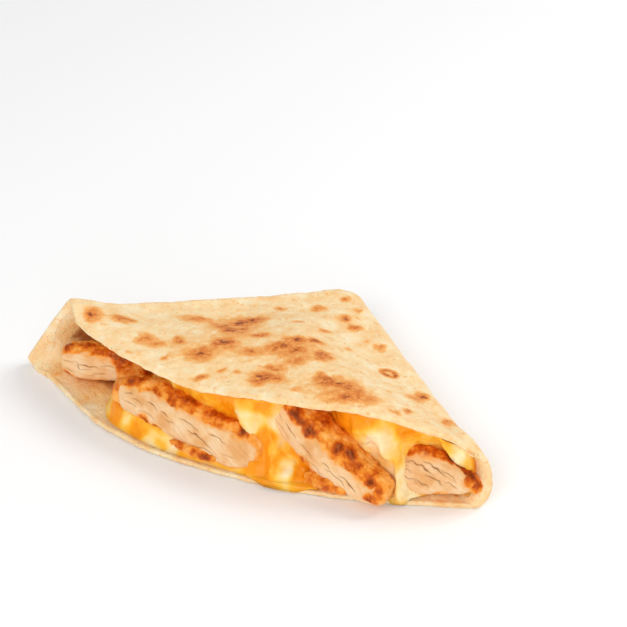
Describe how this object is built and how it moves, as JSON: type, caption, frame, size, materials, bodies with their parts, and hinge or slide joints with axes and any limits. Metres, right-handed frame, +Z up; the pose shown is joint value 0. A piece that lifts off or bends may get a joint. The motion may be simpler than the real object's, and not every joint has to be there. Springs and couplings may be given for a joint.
{
  "type": "folded chicken quesadilla wedge",
  "caption": "Wedge of folded flour tortilla, toasted outside, filled with melted cheese and browned chicken strips that show along its round open rim.",
  "frame": {"origin": "middle of the footprint, on the surface that the wedge lies on", "axes": "+X along the wedge's width from its open left end to its right end, +Y towards the apex where the folds meet, +Z up"},
  "size_m": [0.1346, 0.0753, 0.0258],
  "materials": {
    "baked_dough": "matte baked flour dough with browned spots",
    "melted_cheese": "glossy melted cheese, marbled orange and cream",
    "browned_chicken": "moist cooked meat with a browned, oily outside"
  },
  "bodies": {
    "root": {"tortilla": "baked_dough", "melted_cheese": "melted_cheese", "chicken_strip_1": "browned_chicken", "chicken_strip_2": "browned_chicken", "chicken_strip_3": "browned_chicken", "chicken_strip_4": "browned_chicken", "chicken_crumb_1": "browned_chicken", "chicken_crumb_2": "browned_chicken"}
  },
  "joints": []
}
